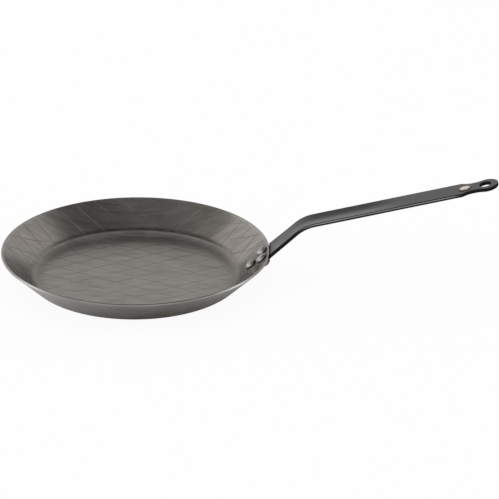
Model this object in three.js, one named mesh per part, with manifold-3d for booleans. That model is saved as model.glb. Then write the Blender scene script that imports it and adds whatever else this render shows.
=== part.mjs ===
// Steak pan: a flared pan pressed from steel sheet, with a flat bar handle held by three rivets.
// Millimetres, +Z up, +X along the handle. The origin is the middle of the base's underside.

import * as THREE from 'three';
import { mergeVertices } from 'three/addons/utils/BufferGeometryUtils.js';
import Module from 'manifold-3d';

const wasm = await Module();
wasm.setup();

const { clamp, degToRad, lerp, smoothstep } = THREE.MathUtils;

// Pan body
const RIM_RADIUS = 140;              // outer edge of the rim, from the middle
const RIM_HEIGHT = 31.2;             // outer edge of the rim, above the table
const SHEET = 2.5;                   // thickness of the sheet
const WALL_ANGLE = degToRad(43);     // slope of the wall above the table
const CORNER_RADIUS = 14;            // outside radius between base and wall

// Handle bar, measured along its top face from the rim outwards
const BAR_THICKNESS = 4;
const PLATE_THICKNESS = 1.7;         // the end under the wall is pressed thinner
const STEP_START = 0.6;              // where the top face steps up from the plate to the bar
const STEP_LENGTH = 0.8;             // how far along the bar that step takes
const RISE_LENGTH = 36;              // straight run in line with the wall
const BEND_RADIUS = 43;              // bend of the top face, from the rise to the grip
const GRIP_ANGLE = degToRad(12.6);   // slope of the grip above the table
const GRIP_LENGTH = 156.5;           // straight run from the bend to the shoulders
const GRIP_WIDTH = 27;
const SHOULDER_LENGTH = 12;          // from the shoulders to the neck
const NECK_WIDTH = 19.4;
const NECK_TO_HOLE = 12.7;           // from the neck to the middle of the hanging hole
const HOLE_DIAMETER = 12.4;          // hanging hole
const EYE_RADIUS = 12.2;             // round end of the bar
const EYE_OFFSET = 1.4;              // the round end's middle lies this far past the hole's middle
const SHOULDER_DROP = 0.67;          // share of the drop to the neck that the shoulder's curve starts with
const FLARE_ANGLE = degToRad(112);   // where the neck's curve runs into the round end
const CURVE_LEAD = 0.4;              // share of a curve's run that leaves its ends straight
const EDGE_CHAMFER = 0.5;            // broken edges along the bar

// Rivets, and the plate of the handle that they hold
const UPPER_RIVETS_DOWN = 9.2;       // from the rim down the wall to the upper pair
const RIVET_DROP = 16;               // from the upper pair down the wall to the lower rivet
const RIVET_SPACING = 19;            // between the upper pair, round the wall
const PLATE_MARGIN = 8.5;            // from a rivet's middle to the edge of the plate
const LOBE_OVERHANG = 2.5;           // how far the plate's lobes stand out beside the bar
const SHANK_DIAMETER = 6;
const HEAD_DIAMETER = 13;
const HEAD_HEIGHT = 3.8;             // domed head inside the pan
const TAIL_DIAMETER = 12;
const TAIL_HEIGHT = 3.8;             // closed end under the plate

// Round badge let into the handle's top face
const BADGE_DIAMETER = 14;
const BADGE_DEPTH = 1;               // depth of its seat
const BADGE_PROUD = 0.7;             // height of its crown above the bar
const BADGE_TO_HOLE = 21.6;          // from its middle to the middle of the hanging hole

// Fits
const SEAT_GAP = 0.3;                // between faces that lie on each other
const HOLE_CLEARANCE = 0.3;          // round a shank or a badge, on the radius

// Fineness of the faceted surfaces
const PAN_FACETS = 96;               // round the pan
const ROUND_FACETS = 32;             // round a rivet, a hole or the badge
const CORNER_STEPS = 3;              // half the steps of the corner between base and wall
const OUTLINE_STEPS = 6;             // steps of a curve in the bar's outline, half those of an arc
const DOME_STEPS = 4;                // from the crown to the edge of a dome
const ACROSS_STEPS = 6;              // across the bar
const STATION_STEP = 2;              // longest step along the curved and bent stretch of the bar
const MERGE_WITHIN = 1e-4;           // corners this close are one corner
const END_FLAT = degToRad(9);        // half angle of the small flat that closes a round end

// Worked out from the sizes above
const stepEnd = STEP_START + STEP_LENGTH;
const stepHeight = BAR_THICKNESS - PLATE_THICKNESS;
const lowerRivetDown = UPPER_RIVETS_DOWN + RIVET_DROP;
const wallSlope = { along: Math.cos(WALL_ANGLE), up: Math.sin(WALL_ANGLE) };
const cornerRise = CORNER_RADIUS * (1 - Math.cos(WALL_ANGLE));
const wallReach = (RIM_HEIGHT - cornerRise) / Math.tan(WALL_ANGLE);
const baseRadius = RIM_RADIUS - wallReach - CORNER_RADIUS * Math.sin(WALL_ANGLE);
const bendLength = BEND_RADIUS * (WALL_ANGLE - GRIP_ANGLE);
const bendEnd = RISE_LENGTH + bendLength;
const shoulderAt = bendEnd + GRIP_LENGTH;
const neckAt = shoulderAt + SHOULDER_LENGTH;
const holeAt = neckAt + NECK_TO_HOLE;
const eyeAt = holeAt + EYE_OFFSET;
const badgeAt = holeAt - BADGE_TO_HOLE;
const gripBetweenFaces = SEAT_GAP + PLATE_THICKNESS + SEAT_GAP;

// A closed geometry as a solid that can be joined and cut
function toSolid(geometry) {
  const bare = geometry.clone();
  bare.deleteAttribute('normal');
  bare.deleteAttribute('uv');
  const merged = mergeVertices(bare, MERGE_WITHIN);
  const vertProperties = new Float32Array(merged.attributes.position.array);
  const triVerts = new Uint32Array(merged.index.array);
  return new wasm.Manifold(new wasm.Mesh({ numProp: 3, vertProperties, triVerts }));
}

function toGeometry(solid) {
  const { vertProperties, triVerts } = solid.getMesh();
  const geometry = new THREE.BufferGeometry();
  geometry.setAttribute('position', new THREE.BufferAttribute(vertProperties, 3));
  geometry.setIndex(new THREE.BufferAttribute(triVerts, 1));
  geometry.computeVertexNormals();
  return geometry;
}

// A geometry with round holes cut through it, each a cutter already in its place
function cut(geometry, cutters) {
  const solid = cutters.reduce((rest, cutter) => rest.subtract(toSolid(cutter)), toSolid(geometry));
  return toGeometry(solid);
}

// A round cutter that stands on its place's local Y axis, from `low` to `high`
function roundCutter(place, diameter, low, high) {
  const cutter = new THREE.CylinderGeometry(diameter / 2, diameter / 2, high - low, ROUND_FACETS);
  cutter.translate(0, (low + high) / 2, 0);
  return cutter.applyMatrix4(place);
}

// A place whose local Y axis points along `normal` from `point`
function placeOn(point, normal) {
  const turn = new THREE.Quaternion().setFromUnitVectors(new THREE.Vector3(0, 1, 0), normal);
  return new THREE.Matrix4().compose(point, turn, new THREE.Vector3(1, 1, 1));
}

function mesh(name, geometry, material, place) {
  const part = new THREE.Mesh(geometry, new THREE.MeshStandardMaterial(material));
  part.name = name;
  if (place) part.applyMatrix4(place);
  return part;
}

// The pan's section at `inside` from its outer face, from the axis out to the rim
function sheetLine(inside) {
  const line = new THREE.Path();
  const base = -Math.PI / 2;
  line.moveTo(0, inside);
  line.lineTo(baseRadius, inside);
  line.absarc(baseRadius, CORNER_RADIUS, CORNER_RADIUS - inside, base, base + WALL_ANGLE, false);
  line.lineTo(RIM_RADIUS - inside * wallSlope.up, RIM_HEIGHT + inside * wallSlope.along);
  return line.getPoints(CORNER_STEPS);
}

function panGeometry(cutters) {
  const profile = [...sheetLine(0), ...sheetLine(SHEET).reverse()];
  const blank = new THREE.LatheGeometry(profile, PAN_FACETS);
  blank.rotateX(Math.PI / 2);
  return cut(blank, cutters);
}

// How far the bar's top face has stepped up from the plate's. The underside runs straight on.
function barStep(along) {
  return stepHeight * smoothstep(along, STEP_START, stepEnd);
}

// The middle of the bar's top face: its radius from the axis, height and slope
function barLine(along) {
  const rise = Math.min(along, RISE_LENGTH);
  const bent = clamp(along - RISE_LENGTH, 0, bendLength);
  const straight = Math.max(along - bendEnd, 0);
  const slope = WALL_ANGLE - bent / BEND_RADIUS;
  const lift = barStep(along) - SEAT_GAP;
  const bendReach = BEND_RADIUS * (Math.sin(WALL_ANGLE) - Math.sin(slope));
  const bendRise = BEND_RADIUS * (Math.cos(slope) - Math.cos(WALL_ANGLE));
  const radius = RIM_RADIUS + rise * wallSlope.along - lift * wallSlope.up + bendReach;
  const height = RIM_HEIGHT + rise * wallSlope.up + lift * wallSlope.along + bendRise;
  return {
    radius: radius + straight * Math.cos(slope),
    height: height + straight * Math.sin(slope),
    slope,
  };
}

// A point of the bar. The plate is curved to lie on the wall, and the bar is flat by its bend.
function barPoint(along, across, under) {
  const { radius, height, slope } = barLine(along);
  const reach = radius + under * Math.sin(slope);
  const z = height - under * Math.cos(slope);
  const turn = across / reach;
  const curved = new THREE.Vector3(reach * Math.cos(turn), reach * Math.sin(turn), z);
  const flat = new THREE.Vector3(reach, across, z);
  return curved.lerp(flat, smoothstep(along, 0, RISE_LENGTH));
}

// One edge of the flattened bar: distance along it and half its width there
function barOutline() {
  const lean = Math.atan2(RIVET_SPACING / 2, RIVET_DROP);
  const tangent = Math.PI / 2 + lean;
  const lobeEnd = Math.asin(1 - LOBE_OVERHANG / PLATE_MARGIN);
  const flare = new THREE.Vector2(Math.cos(FLARE_ANGLE), Math.sin(FLARE_ANGLE));
  const eyeSide = new THREE.Vector2(eyeAt, 0).addScaledVector(flare, EYE_RADIUS);
  const eyeLead = CURVE_LEAD * (eyeSide.x - neckAt);
  const shoulderLead = CURVE_LEAD * SHOULDER_LENGTH;
  const shoulderWidth = lerp(GRIP_WIDTH, NECK_WIDTH, SHOULDER_DROP);
  const edge = new THREE.Path();
  edge.absarc(-lowerRivetDown, 0, PLATE_MARGIN, Math.PI - END_FLAT, tangent, true);
  edge.absarc(-UPPER_RIVETS_DOWN, RIVET_SPACING / 2, PLATE_MARGIN, tangent, lobeEnd, true);
  edge.lineTo(bendEnd, GRIP_WIDTH / 2);
  edge.lineTo(shoulderAt, GRIP_WIDTH / 2);
  edge.bezierCurveTo(
    shoulderAt + shoulderLead, shoulderWidth / 2,
    neckAt - shoulderLead, NECK_WIDTH / 2,
    neckAt, NECK_WIDTH / 2,
  );
  edge.bezierCurveTo(
    neckAt + eyeLead, NECK_WIDTH / 2,
    eyeSide.x - eyeLead * flare.y, eyeSide.y + eyeLead * flare.x,
    eyeSide.x, eyeSide.y,
  );
  edge.absarc(eyeAt, 0, EYE_RADIUS, FLARE_ANGLE, END_FLAT, true);
  return edge.getPoints(OUTLINE_STEPS);
}

// The outline's points, with more of them at the step and along the curved and bent stretch
function barStations() {
  const outline = barOutline();
  const stations = [outline[0]];
  for (let i = 1; i < outline.length; i += 1) {
    const from = outline[i - 1];
    const to = outline[i];
    const steps = from.x < bendEnd ? Math.ceil((to.x - from.x) / STATION_STEP) : 1;
    const places = [STEP_START, stepEnd].filter((place) => place > from.x && place < to.x);
    for (let step = 1; step <= steps; step += 1) {
      places.push(lerp(from.x, to.x, step / steps));
    }
    places.sort((a, b) => a - b);
    for (const place of places) {
      stations.push(from.clone().lerp(to, (place - from.x) / (to.x - from.x)));
    }
  }
  return stations;
}

// One section of the bar as a closed ring, with its edges broken
function barRing(along, halfWidth) {
  const flatHalf = halfWidth - EDGE_CHAMFER;
  const thickness = PLATE_THICKNESS + barStep(along);
  const ring = [];
  for (let step = 0; step <= ACROSS_STEPS; step += 1) {
    ring.push([flatHalf * (2 * step / ACROSS_STEPS - 1), 0]);
  }
  ring.push([halfWidth, EDGE_CHAMFER], [halfWidth, thickness - EDGE_CHAMFER]);
  for (let step = 0; step <= ACROSS_STEPS; step += 1) {
    ring.push([flatHalf * (1 - 2 * step / ACROSS_STEPS), thickness]);
  }
  ring.push([-halfWidth, thickness - EDGE_CHAMFER], [-halfWidth, EDGE_CHAMFER]);
  return ring.map(([across, under]) => barPoint(along, across, under));
}

function handleGeometry(cutters) {
  const rings = barStations().map(({ x, y }) => barRing(x, y));
  const count = rings[0].length;
  const index = [];
  for (let row = 0; row + 1 < rings.length; row += 1) {
    for (let side = 0; side < count; side += 1) {
      const a = row * count + side;
      const b = row * count + (side + 1) % count;
      index.push(a, a + count, b, b, a + count, b + count);
    }
  }
  const last = (rings.length - 1) * count;
  for (let side = 1; side + 1 < count; side += 1) {
    index.push(0, side, side + 1);
    index.push(last, last + side + 1, last + side);
  }
  const blank = new THREE.BufferGeometry().setFromPoints(rings.flat());
  blank.setIndex(index);
  return cut(blank, cutters);
}

// Where a rivet stands: on the wall's outer face, with its axis pointing into the pan
function rivetPlace(down, round) {
  const radius = RIM_RADIUS - down * wallSlope.along;
  const turn = round / radius;
  const point = new THREE.Vector3(
    radius * Math.cos(turn),
    radius * Math.sin(turn),
    RIM_HEIGHT - down * wallSlope.up,
  );
  const inward = new THREE.Vector3(
    -wallSlope.up * Math.cos(turn),
    -wallSlope.up * Math.sin(turn),
    wallSlope.along,
  );
  return placeOn(point, inward);
}

// Half of a low dome, from its crown on the axis to its edge
function domeLine(diameter, seat, height) {
  const line = [];
  for (let step = 0; step <= DOME_STEPS; step += 1) {
    const angle = (step / DOME_STEPS) * Math.PI / 2;
    line.push(new THREE.Vector2(diameter / 2 * Math.sin(angle), seat + height * Math.cos(angle)));
  }
  return line;
}

// A rivet on its own axis: head inside the pan, shank through wall and plate, tail below
function rivetGeometry() {
  const shank = SHANK_DIAMETER / 2;
  const headSeat = SHEET + SEAT_GAP;
  const tailSeat = -gripBetweenFaces;
  const profile = [
    ...domeLine(HEAD_DIAMETER, headSeat, HEAD_HEIGHT),
    new THREE.Vector2(shank, headSeat),
    new THREE.Vector2(shank, tailSeat),
    ...domeLine(TAIL_DIAMETER, tailSeat, -TAIL_HEIGHT).reverse(),
  ];
  return new THREE.LatheGeometry(profile.reverse(), ROUND_FACETS);
}

// A point of the handle's top face with the face's normal
function placeOnBar(along) {
  const { slope } = barLine(along);
  return placeOn(barPoint(along, 0, 0), new THREE.Vector3(-Math.sin(slope), 0, Math.cos(slope)));
}

function badgeGeometry() {
  const floor = SEAT_GAP - BADGE_DEPTH;
  const profile = [
    new THREE.Vector2(0, floor),
    new THREE.Vector2(BADGE_DIAMETER / 2, floor),
    ...domeLine(BADGE_DIAMETER, 0, BADGE_PROUD).reverse(),
  ];
  return new THREE.LatheGeometry(profile, ROUND_FACETS);
}

// The rivets by name, with their places on the wall
const rivets = {
  rivet_upper_left: rivetPlace(UPPER_RIVETS_DOWN, RIVET_SPACING / 2),
  rivet_upper_right: rivetPlace(UPPER_RIVETS_DOWN, -RIVET_SPACING / 2),
  rivet_lower: rivetPlace(lowerRivetDown, 0),
};
const shankHole = SHANK_DIAMETER + 2 * HOLE_CLEARANCE;
const overcut = BAR_THICKNESS;
const wallCutters = Object.values(rivets).map(
  (place) => roundCutter(place, shankHole, -overcut, SHEET + overcut),
);
const plateCutters = Object.values(rivets).map(
  (place) => roundCutter(place, shankHole, -gripBetweenFaces - overcut, overcut),
);
const holeCutter = roundCutter(placeOnBar(holeAt), HOLE_DIAMETER, -BAR_THICKNESS - overcut, overcut);
const seatCutter = roundCutter(
  placeOnBar(badgeAt), BADGE_DIAMETER + 2 * HOLE_CLEARANCE, -BADGE_DEPTH, overcut,
);

const panSteel = { color: 0x6f6b66, roughness: 0.42, metalness: 0.9 };
const barSteel = { color: 0x5c5b57, roughness: 0.48, metalness: 0.85 };
const rivetSteel = { color: 0xa09a92, roughness: 0.35, metalness: 0.95 };
const badgeMetal = { color: 0xbcb4ab, roughness: 0.4, metalness: 0.9 };

const steakPan = new THREE.Group();
steakPan.add(mesh('pan_body', panGeometry(wallCutters), panSteel));
steakPan.add(mesh('handle', handleGeometry([...plateCutters, holeCutter, seatCutter]), barSteel));
for (const [name, place] of Object.entries(rivets)) {
  steakPan.add(mesh(name, rivetGeometry(), rivetSteel, place));
}
steakPan.add(mesh('handle_badge', badgeGeometry(), badgeMetal, placeOnBar(badgeAt)));

export default steakPan;
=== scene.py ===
"""A carbon steel steak pan with a riveted strip handle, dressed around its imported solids.

Lengths are in metres. +X runs along the handle, +Z is up, and the origin is the middle of the base's
underside. The pan and the handle are each laid out flat first, as a sheet and a strip, and then bent to
shape.
"""

import math

import bmesh
import bpy
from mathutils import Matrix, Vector


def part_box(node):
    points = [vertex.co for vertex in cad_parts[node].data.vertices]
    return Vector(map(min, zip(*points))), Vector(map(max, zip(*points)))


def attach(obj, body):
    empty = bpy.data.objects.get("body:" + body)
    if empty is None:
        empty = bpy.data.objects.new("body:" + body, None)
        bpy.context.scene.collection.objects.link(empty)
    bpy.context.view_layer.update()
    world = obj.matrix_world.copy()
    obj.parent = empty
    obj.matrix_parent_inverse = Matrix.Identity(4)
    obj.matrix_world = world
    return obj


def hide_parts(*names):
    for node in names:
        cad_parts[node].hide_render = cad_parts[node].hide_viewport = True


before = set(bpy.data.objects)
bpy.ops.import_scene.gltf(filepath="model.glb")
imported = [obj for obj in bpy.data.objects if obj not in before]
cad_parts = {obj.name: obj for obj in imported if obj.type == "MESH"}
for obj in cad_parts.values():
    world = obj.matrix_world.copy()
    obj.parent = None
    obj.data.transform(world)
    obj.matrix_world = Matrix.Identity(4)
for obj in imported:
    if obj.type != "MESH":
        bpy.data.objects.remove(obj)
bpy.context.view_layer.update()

MM = 0.001

# The pan is one sheet: a flat base, a round corner and a straight flared wall
RIM_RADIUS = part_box("pan_body")[1].x
RIM_HEIGHT = 31.2 * MM
SHEET = 2.5 * MM
WALL_ANGLE = math.radians(43)
CORNER_RADIUS = 14 * MM
LIP_RADIUS = 1.15 * MM

# The base's shading turns up a little towards its corner, and less so away from the far side
TURN_UP_START = 50 * MM
TURN_UP = math.radians(4)
SIDE_TURN = 0.8

# A place belongs to the far side by how much of +Y there is in its way out from the middle
FAR_START = 0.3
FAR_FULL = 0.8

# The steel is duller from this far out on the base to a little way up the wall, and less so away from
# the far side
DULL_START = 90 * MM
DULL_END = 5 * MM
SIDE_DULL = 0.4

# At the far wall's foot, painted light and shade: a painted light line, a painted pale band on the base
# below it and painted dark shade on the wall above it
LIGHT_LINE_WIDTH = 0.8 * MM
PALE_DOWN = 13 * MM
PALE_WIDTH = 4 * MM
PALE_SHARE = 0.8
FOOT_SHADE_START = 1.2 * MM
FOOT_SHADE_FULL = 2.6 * MM
FOOT_SHADE_END = 7 * MM

# Faint darker patches along the rest of the corner, from below the wall's foot to just above it
CORNER_DARK_START = 20 * MM
CORNER_DARK_FULL = 8 * MM
CORNER_DARK_FADE = 2 * MM
CORNER_DARK_END = 3 * MM

# Two painted highlights over the near lip, one on each side, turned this far from the handle's line
LIP_HIGHLIGHT_TURN = math.radians(41)
LIP_HIGHLIGHT_SPREAD = math.radians(9)
LIP_HIGHLIGHT_AT = 2.1 * MM
LIP_HIGHLIGHT_WIDTH = 0.9 * MM

# The cross-hatched grooves, pressed into the base and into the wall as two separate fields
GROOVE_ANGLE = math.radians(31)
GROOVE_WIDTH = 1.5 * MM
GROOVE_FADE = 3 * MM
BASE_DEPTH = 0.038 * MM
BASE_SPACING = 21 * MM
BASE_OFFSETS = (-2.3 * MM, -2.3 * MM)
WALL_DEPTH = 0.08 * MM
WALL_SPACING = 19.3 * MM
WALL_OFFSETS = (-6.1 * MM, -2.9 * MM)

# Turning the wall up irons out its grooves where they run round it more than outwards
IRONED_START = 0.2
IRONED_END = 0.55

# The handle is one strip: a plate riveted under the wall, a rise along it, a bend and a straight grip
BAR_THICKNESS = 4 * MM
PLATE_THICKNESS = 1.7 * MM
STEP_START = 0.2 * MM
STEP_LENGTH = 0.8 * MM
RISE_LENGTH = 36 * MM
BEND_RADIUS = 43 * MM
GRIP_ANGLE = math.radians(12.6)
GRIP_LENGTH = 156.5 * MM
GRIP_WIDTH = 27 * MM
SHOULDER_LENGTH = 12 * MM
SHOULDER_DROP = 0.67
CURVE_LEAD = 0.4
NECK_WIDTH = 19.4 * MM
NECK_TO_HOLE = 12.7 * MM
HOLE_DIAMETER = 12.4 * MM
EYE_RADIUS = 12.2 * MM
EYE_OFFSET = 1.4 * MM
FLARE_ANGLE = math.radians(112)
END_FLAT = math.radians(9)
BAR_EDGE = 1.2 * MM
TOP_EDGE_DROP = 0.25 * MM
HOLE_EDGE = 0.3 * MM
DISH_DEPTH = 1.45 * MM
DISH_START = 22 * MM
DISH_HOLD = 55 * MM
DISH_END = 100 * MM
DISH_VALLEY = 0.2

# A bright line along the strip's sides, partly rubbed and partly a painted highlight, as how far
# down it is and how much it shows
STRIPE_TOP = 0.75 * MM
STRIPE_BOTTOM = 1.75 * MM
STRIPE_BLUR = 0.25 * MM
RUBBED_HIGHLIGHT_BAND = (
    (STRIPE_TOP - STRIPE_BLUR, 0),
    (STRIPE_TOP + STRIPE_BLUR, 1),
    (STRIPE_BOTTOM - STRIPE_BLUR, 1),
    (STRIPE_BOTTOM + STRIPE_BLUR, 0),
)
# How far the painted shade at the strip's root fades out along it
ROOT_SHADE_FADE = 1.4 * MM

# The rivets, set in a triangle through the plate and the wall
UPPER_RIVETS_DOWN = 9.2 * MM
RIVET_DROP = 16 * MM
RIVET_SPACING = 19 * MM
PLATE_MARGIN = 8.5 * MM
LOBE_OVERHANG = 2.5 * MM
SHANK_DIAMETER = 6 * MM
HEAD_DIAMETER = 13 * MM
HEAD_HEIGHT = 3.8 * MM
TAIL_DIAMETER = 12 * MM
TAIL_HEIGHT = 3.8 * MM
DOME_FULLNESS = 2.3

# The hammer leaves two and three low places round each head
TWO_DENTS = 0.12 * MM
THREE_DENTS = 0.07 * MM

# Painted shade with some dirt shows at a head's foot by the height above its seat, the tail is darker
# all over, and a head has a painted highlight towards one side, given as a way up the wall and across it
HEAD_SHADE_FULL = 0.3 * MM
HEAD_SHADE_END = 1.1 * MM
TAIL_DARKENING = 0.75
HIGHLIGHT_WAY = (-0.8, -0.6)
HIGHLIGHT_START = 0.2
HIGHLIGHT_FULL = 0.8

# The plain metal badge let into the grip: a low dome, a bead round it and a tarnished rim
BADGE_DIAMETER = 14 * MM
BADGE_DEPTH = 1 * MM
BADGE_PROUD = 0.7 * MM
BADGE_TO_HOLE = 21.6 * MM
BADGE_BEAD = 1.9 * MM
BEAD_FOOT = 0.25 * MM
BEAD_FLATNESS = 0.6
TARNISH_IN = 0.6 * MM
TARNISH_OUT = 0.2 * MM

SEAT_GAP = 0.3 * MM
HOLE_CLEARANCE = 0.3 * MM

# How finely the shapes are cut, and the step that finds the strip's slopes
ROUND_STEPS = 192
CORNER_STEPS = 8
LIP_STEPS = 6
EDGE_STEPS = 4
OUTLINE_STEPS = 12
DOME_STEPS = 10
RIVET_ROUND_STEPS = 40
BADGE_ROUND_STEPS = 48
FINE_CUT = 3 * MM
COARSE_CUT = 8 * MM
WIDTH_CUTS = (0.25, 0.5, 0.75)
CUT_TOLERANCE = 0.02 * MM
MERGE_DISTANCE = 0.005 * MM
ROUND_TOLERANCE = 0.3 * MM
PROBE = 0.01 * MM

# Colours of the metals, as linear red, green and blue
STEEL_DARK = (0.175, 0.162, 0.149)
STEEL_LIGHT = (0.322, 0.297, 0.274)
STEEL_GROOVE = (0.090, 0.083, 0.075)
# Painted shade at the far wall's foot, then darker patches along the rest of the corner
STEEL_FOOT_SHADE = (0.05, 0.046, 0.042)
STEEL_CORNER_DARK = (0.10, 0.085, 0.075)
# Painted light at the far wall's foot, then the lip's own worn colour
STEEL_PAINTED_LIGHT = (0.46, 0.44, 0.42)
STEEL_LIP = (0.35, 0.338, 0.32)
# A painted highlight over the near lip
STEEL_LIP_HIGHLIGHT = (0.95, 0.93, 0.90)
STEEL_EDGE_TINT = (0.8, 0.8, 0.8)
COAT_DARK = (0.007, 0.007, 0.0065)
COAT_LIGHT = (0.018, 0.017, 0.016)
# The grip's bright stripe, partly rubbed and partly a painted highlight
COAT_RUBBED_HIGHLIGHT = (0.34, 0.33, 0.315)
RIVET_DARK = (0.30, 0.285, 0.265)
RIVET_LIGHT = (0.52, 0.505, 0.48)
# A painted highlight on one side of a rivet head, then painted shade with some dirt at its foot
RIVET_HIGHLIGHT = (0.86, 0.83, 0.79)
RIVET_SHADE_AND_DIRT = (0.04, 0.036, 0.032)
BADGE_DARK = (0.80, 0.73, 0.66)
BADGE_LIGHT = (0.95, 0.91, 0.86)
TARNISH_DARK = (0.09, 0.06, 0.038)
TARNISH_LIGHT = (0.34, 0.26, 0.19)

# How much of its colour each mark of the pan's steel takes on at most, painted light and shade among
# them, and how much rougher it is
GROOVE_SHARE = 0.1
FOOT_SHADE_SHARE = 0.9
CORNER_DARK_SHARE = 0.26
PAINTED_LIGHT_SHARE = 0.5
LIP_SHARE = 0.7
LIP_HIGHLIGHT_SHARE = 0.9
GROOVE_ROUGH = 0.5
DULL_ROUGH = 0.34
STEEL_METALLIC = 0.88

# Painted shade at the handle's root and on its sides makes the coating rough and takes its gloss away
HANDLE_SHADE_ROUGH = 0.5
COAT_GLOSS = 0.5
HANDLE_SHADE_GLOSS = 0.05
COAT_IOR = 1.4

# Most of what a noise gives lies in the noise range, and most of two noises added in the pair range
NOISE_RANGE = (0.3, 0.7)
PAIR_RANGE = (0.7, 1.3)

# The studio: a white floor just under the pan, with an oval shade that gloss sees, and light from all round
WHITE = (1, 1, 1)
PLAIN_LIGHT = (0.9, 0.9, 0.9)
FLOOR_HALF = 6.0
FLOOR_DROP = 0.4 * MM
FLOOR_PAINT = (0.9, 0.9, 0.9)
FLOOR_WHITE = 0.94
SHADE_START = 108 * MM
SHADE_END = 200 * MM
SHADE_NARROW = 1.25
SHADE_SHIFT = 15 * MM

# How bright gloss sees the studio, by the height of the direction: white round about, dark overhead.
# The white reaches higher at the sides.
SKY = (
    (0.0, 0.76),
    (0.15, 0.9),
    (0.50, 0.9),
    (0.56, 0.42),
    (0.62, 0.24),
    (0.68, 0.11),
    (0.81, 0.09),
    (0.89, 0.22),
    (1.0, 0.26),
)
SIDE_REACH = 0.22

# Two soft lamps: name, place, size across and power. Both are aimed at the middle of the object.
LAMPS = (
    ("front_lamp", (-1.44, -0.84, 1.73), 2.2, 2.7),
    ("left_lamp", (-1.4, 1.32, 0.95), 1.2, 1.4),
)
LAMP_AIM = (0.1, 0, 0.03)

# The photograph's view: a long lens, looking down from the pan's side
IMAGE_PIXELS = 499
VIEW_AZIMUTH = math.radians(0.25)
VIEW_ELEVATION = math.radians(23.673)
VIEW_DISTANCE = 6.0
VIEW_END = 50
VIEW_TARGET = Vector((118.36 * MM, 0.516 * MM, 32.742 * MM))
PIXELS_PER_METRE = 963.21
SENSOR = 36.0

# What follows from the sizes above. Places on the handle are measured along its strip from the rim.
SIN_WALL = math.sin(WALL_ANGLE)
COS_WALL = math.cos(WALL_ANGLE)
WALL_LENGTH = (RIM_HEIGHT - CORNER_RADIUS * (1 - COS_WALL)) / SIN_WALL
BASE_RADIUS = RIM_RADIUS - CORNER_RADIUS * SIN_WALL - WALL_LENGTH * COS_WALL
BEND_LENGTH = BEND_RADIUS * (WALL_ANGLE - GRIP_ANGLE)
BEND_END = RISE_LENGTH + BEND_LENGTH
SHOULDER_AT = BEND_END + GRIP_LENGTH
NECK_AT = SHOULDER_AT + SHOULDER_LENGTH
HOLE_AT = NECK_AT + NECK_TO_HOLE
EYE_AT = HOLE_AT + EYE_OFFSET
BADGE_AT = HOLE_AT - BADGE_TO_HOLE
UPPER_RIVET_AT = -UPPER_RIVETS_DOWN
LOWER_RIVET_AT = UPPER_RIVET_AT - RIVET_DROP
RECESS_RADIUS = BADGE_DIAMETER / 2 + HOLE_CLEARANCE

# Each rivet: its node, its place along and across the strip, and how far its dents are turned
RIVETS = (
    ("rivet_upper_left", UPPER_RIVET_AT, RIVET_SPACING / 2, 0.4),
    ("rivet_upper_right", UPPER_RIVET_AT, -RIVET_SPACING / 2, 1.7),
    ("rivet_lower", LOWER_RIVET_AT, 0, 2.9),
)


def smoothstep(value, start, end):
    """Rises smoothly from 0 at start to 1 at end."""
    share = min(max((value - start) / (end - start), 0), 1)
    return share * share * (3 - 2 * share)


def bell(value, width):
    """Falls off smoothly from 1 on both sides of 0, to about a third at the width."""
    return math.exp(-(value / width) ** 2)


def arc(centre, radius, start, end, steps):
    """Points along an arc, both ends included."""
    turns = [start + (end - start) * i / steps for i in range(steps + 1)]
    return [(centre[0] + radius * math.cos(t), centre[1] + radius * math.sin(t)) for t in turns]


def bezier(start, lead, trail, end, steps):
    """Points along a cubic curve, without its first one."""
    points = []
    for i in range(1, steps + 1):
        t = i / steps
        u = 1 - t
        shares = (u * u * u, 3 * u * u * t, 3 * u * t * t, t * t * t)
        points.append(tuple(
            sum(share * p[axis] for share, p in zip(shares, (start, lead, trail, end))) for axis in (0, 1)
        ))
    return points


def new_piece(name, node, material, points, faces, normals, sheet, marks):
    """A smooth mesh that stands for one CAD node. At each point, sheet is its place on the flat metal and
    marks says how much each named mark of the surface shows."""
    mesh = bpy.data.meshes.new(name)
    mesh.from_pydata(points, [], faces)
    mesh.shade_smooth()
    mesh.normals_split_custom_set_from_vertices(normals)
    places = mesh.attributes.new("sheet", "FLOAT_VECTOR", "POINT")
    places.data.foreach_set("vector", [x for place in sheet for x in place])
    for mark in marks[0]:
        shown = mesh.attributes.new(mark, "FLOAT", "POINT")
        shown.data.foreach_set("value", [at_point[mark] for at_point in marks])
    mesh.materials.append(material)
    piece = bpy.data.objects.new(name, mesh)
    bpy.context.scene.collection.objects.link(piece)
    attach(piece, "root")
    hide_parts(node)
    return piece


class Section:
    """A line drawn like a pen path in (radius, height): runs of a length and a change of heading."""

    def __init__(self, start, runs):
        self.runs = []
        place, heading, travelled = start, 0.0, 0.0
        for length, bend in runs:
            self.runs.append((travelled, place, heading, length, bend))
            place = self.step(place, heading, length, bend, length)
            heading += bend
            travelled += length
        self.length = travelled

    @staticmethod
    def step(place, heading, length, bend, travel):
        """Where a run is after some travel along it."""
        if not bend:
            return (place[0] + travel * math.cos(heading), place[1] + travel * math.sin(heading))
        radius = length / bend
        turned = heading + bend * travel / length
        return (
            place[0] + radius * (math.sin(turned) - math.sin(heading)),
            place[1] + radius * (math.cos(heading) - math.cos(turned)),
        )

    def at(self, travelled):
        """The point and the heading after some travel along the whole line."""
        begun = [run for run in self.runs if run[0] <= travelled]
        start, place, heading, length, bend = begun[-1]
        travel = min(travelled - start, length)
        return self.step(place, heading, length, bend, travel), heading + bend * travel / length

    def ends(self):
        """How far along the line each run ends."""
        return [start + length for start, _, _, length, _ in self.runs]

    def steps(self, run, count):
        """Places that divide one run into equal steps, without its start."""
        start, _, _, length, _ = self.runs[run]
        return [start + length * i / count for i in range(1, count + 1)]


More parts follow.
